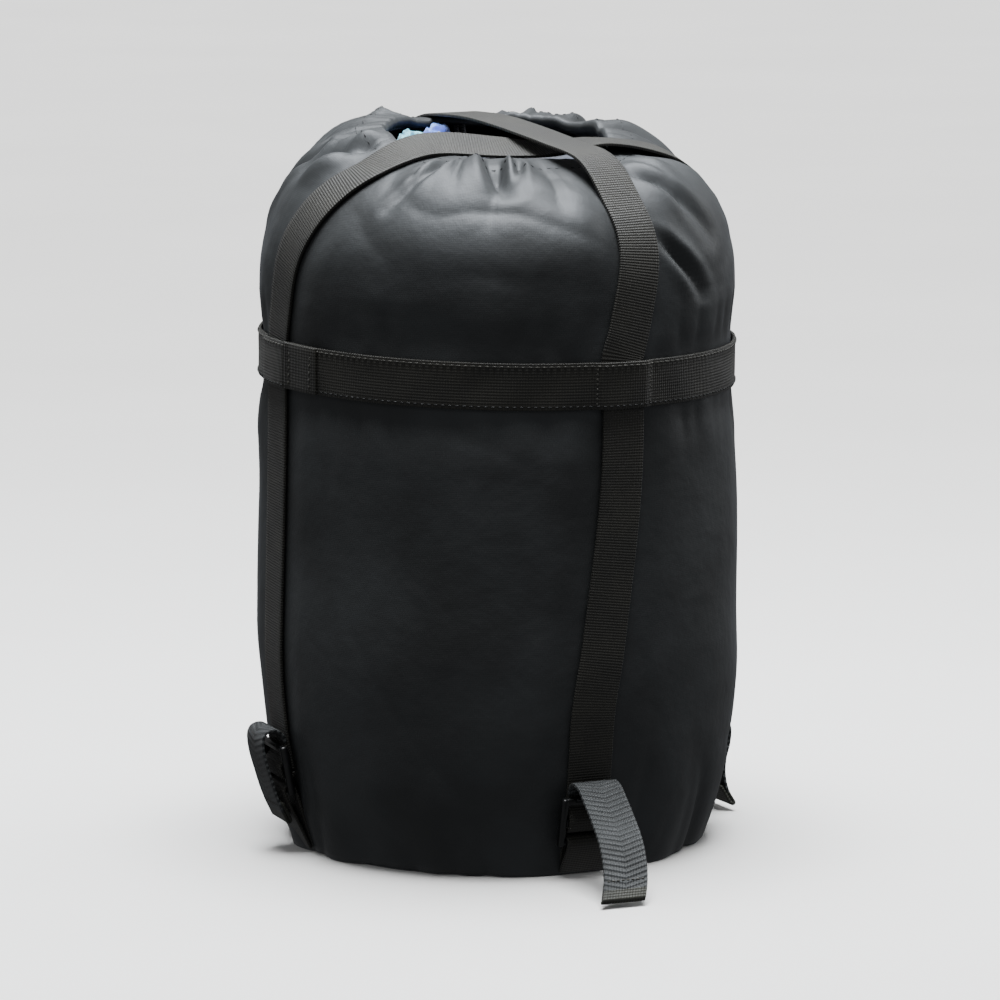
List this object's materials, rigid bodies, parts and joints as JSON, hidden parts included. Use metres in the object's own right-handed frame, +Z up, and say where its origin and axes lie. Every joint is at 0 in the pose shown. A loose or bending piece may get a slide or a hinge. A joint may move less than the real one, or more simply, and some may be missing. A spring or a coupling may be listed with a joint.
{
  "type": "compression sack",
  "caption": "Round cloth compression sack, packed full and drawn shut, with a ring band and two crossed webbing straps pulled down through ladder locks at its base.",
  "frame": {"origin": "centre of the flat base's underside, on the surface the sack stands on", "axes": "+Z up through the mouth, -Y the front, +X to the right seen from the front"},
  "size_m": [0.2701, 0.3187, 0.3971],
  "materials": {
    "sack_cloth": "matte",
    "webbing": "matte",
    "seam_tape": "matte",
    "drawcord": "matte",
    "packed_clothing": "matte",
    "towel_teal": "matte",
    "shirt_blue": "matte",
    "grey_tape": "matte",
    "lock_plastic": "satin",
    "spring_steel": "polished"
  },
  "bodies": {
    "base": {"base_panel": "sack_cloth", "base_seam_tape": "seam_tape", "lower_wall": "sack_cloth", "bundle_lower": "packed_clothing", "anchor_tab_front": "webbing", "anchor_tab_left": "webbing", "anchor_tab_back": "webbing", "anchor_tab_right": "webbing", "strap_run_front": "webbing", "strap_run_left": "webbing", "strap_run_back": "webbing", "strap_run_right": "webbing", "strap_arch_front": "webbing", "strap_arch_left": "webbing", "strap_arch_back": "webbing", "strap_arch_right": "webbing"},
    "crown": {"upper_wall": "sack_cloth", "bundle_upper": "packed_clothing", "packed_towel": "towel_teal", "packed_shirt": "shirt_blue", "packed_tape": "grey_tape", "ring_band": "webbing", "hem_casing": "sack_cloth", "drawcord_loop": "drawcord", "drawcord_end_left": "drawcord", "drawcord_end_right": "drawcord", "drawcord_knot": "drawcord", "strap_front_to_back": "webbing", "strap_left_to_right": "webbing"},
    "cord_lock": {"cord_lock_barrel": "lock_plastic", "cord_lock_spring": "spring_steel"},
    "cord_lock_button": {"cord_lock_button": "lock_plastic"},
    "lock_front": {"ladder_lock_front": "lock_plastic", "strap_wrap_front": "webbing"},
    "tail_front": {"strap_tail_front": "webbing"},
    "lock_left": {"ladder_lock_left": "lock_plastic", "strap_wrap_left": "webbing"},
    "tail_left": {"strap_tail_left": "webbing"},
    "lock_back": {"ladder_lock_back": "lock_plastic", "strap_wrap_back": "webbing"},
    "tail_back": {"strap_tail_back": "webbing"},
    "lock_right": {"ladder_lock_right": "lock_plastic", "strap_wrap_right": "webbing"},
    "tail_right": {"strap_tail_right": "webbing"}
  },
  "joints": [
    {"name": "compress", "type": "slide", "parent": "base", "child": "crown", "axis": [0, 0, -1], "range_m": [0, 0.08], "stiffness_N_per_m": 600, "springref_m": -0.1, "deforming": ["lower_wall", "bundle_lower", "strap_run_front", "strap_run_left", "strap_run_back", "strap_run_right"]},
    {"name": "cord_lock_slide", "type": "slide", "parent": "crown", "child": "cord_lock", "axis": [0, 1, 0], "range_m": [0, 0.03]},
    {"name": "cord_lock_press", "type": "slide", "parent": "cord_lock", "child": "cord_lock_button", "axis": [0, 0, -1], "range_m": [0, 0.003], "stiffness_N_per_m": 800, "springref_m": -0.004, "deforming": ["cord_lock_spring"]},
    {"name": "lock_front_tilt", "type": "hinge", "parent": "base", "child": "lock_front", "pos_m": [0.04809, -0.11329, 0.01998], "axis": [0.9205, 0.3907, 0], "range_deg": [0, 12], "stiffness_Nm_per_rad": 0.5, "springref_deg": -17.19},
    {"name": "tail_front_swing", "type": "hinge", "parent": "base", "child": "tail_front", "pos_m": [0.05272, -0.1242, 0.05452], "axis": [-0.9205, -0.3907, 0], "range_deg": [0, 70]},
    {"name": "lock_left_tilt", "type": "hinge", "parent": "base", "child": "lock_left", "pos_m": [-0.11749, -0.04747, 0.03511], "axis": [0.3746, -0.9272, 0], "range_deg": [0, 12], "stiffness_Nm_per_rad": 0.5, "springref_deg": -17.19},
    {"name": "tail_left_swing", "type": "hinge", "parent": "base", "child": "tail_left", "pos_m": [-0.12729, -0.05143, 0.07006], "axis": [-0.3746, 0.9272, 0], "range_deg": [0, 70]},
    {"name": "lock_back_tilt", "type": "hinge", "parent": "base", "child": "lock_back", "pos_m": [-0.05201, 0.11155, 0.01998], "axis": [-0.9063, -0.4226, 0], "range_deg": [0, 12], "stiffness_Nm_per_rad": 0.5, "springref_deg": -17.19},
    {"name": "tail_back_swing", "type": "hinge", "parent": "base", "child": "tail_back", "pos_m": [-0.05702, 0.12229, 0.05452], "axis": [0.9063, 0.4226, 0], "range_deg": [0, 70]},
    {"name": "lock_right_tilt", "type": "hinge", "parent": "base", "child": "lock_right", "pos_m": [0.10966, 0.05588, 0.01998], "axis": [-0.454, 0.891, 0], "range_deg": [0, 12], "stiffness_Nm_per_rad": 0.5, "springref_deg": -17.19},
    {"name": "tail_right_swing", "type": "hinge", "parent": "base", "child": "tail_right", "pos_m": [0.12022, 0.06126, 0.05452], "axis": [0.454, -0.891, 0], "range_deg": [0, 70]}
  ]
}
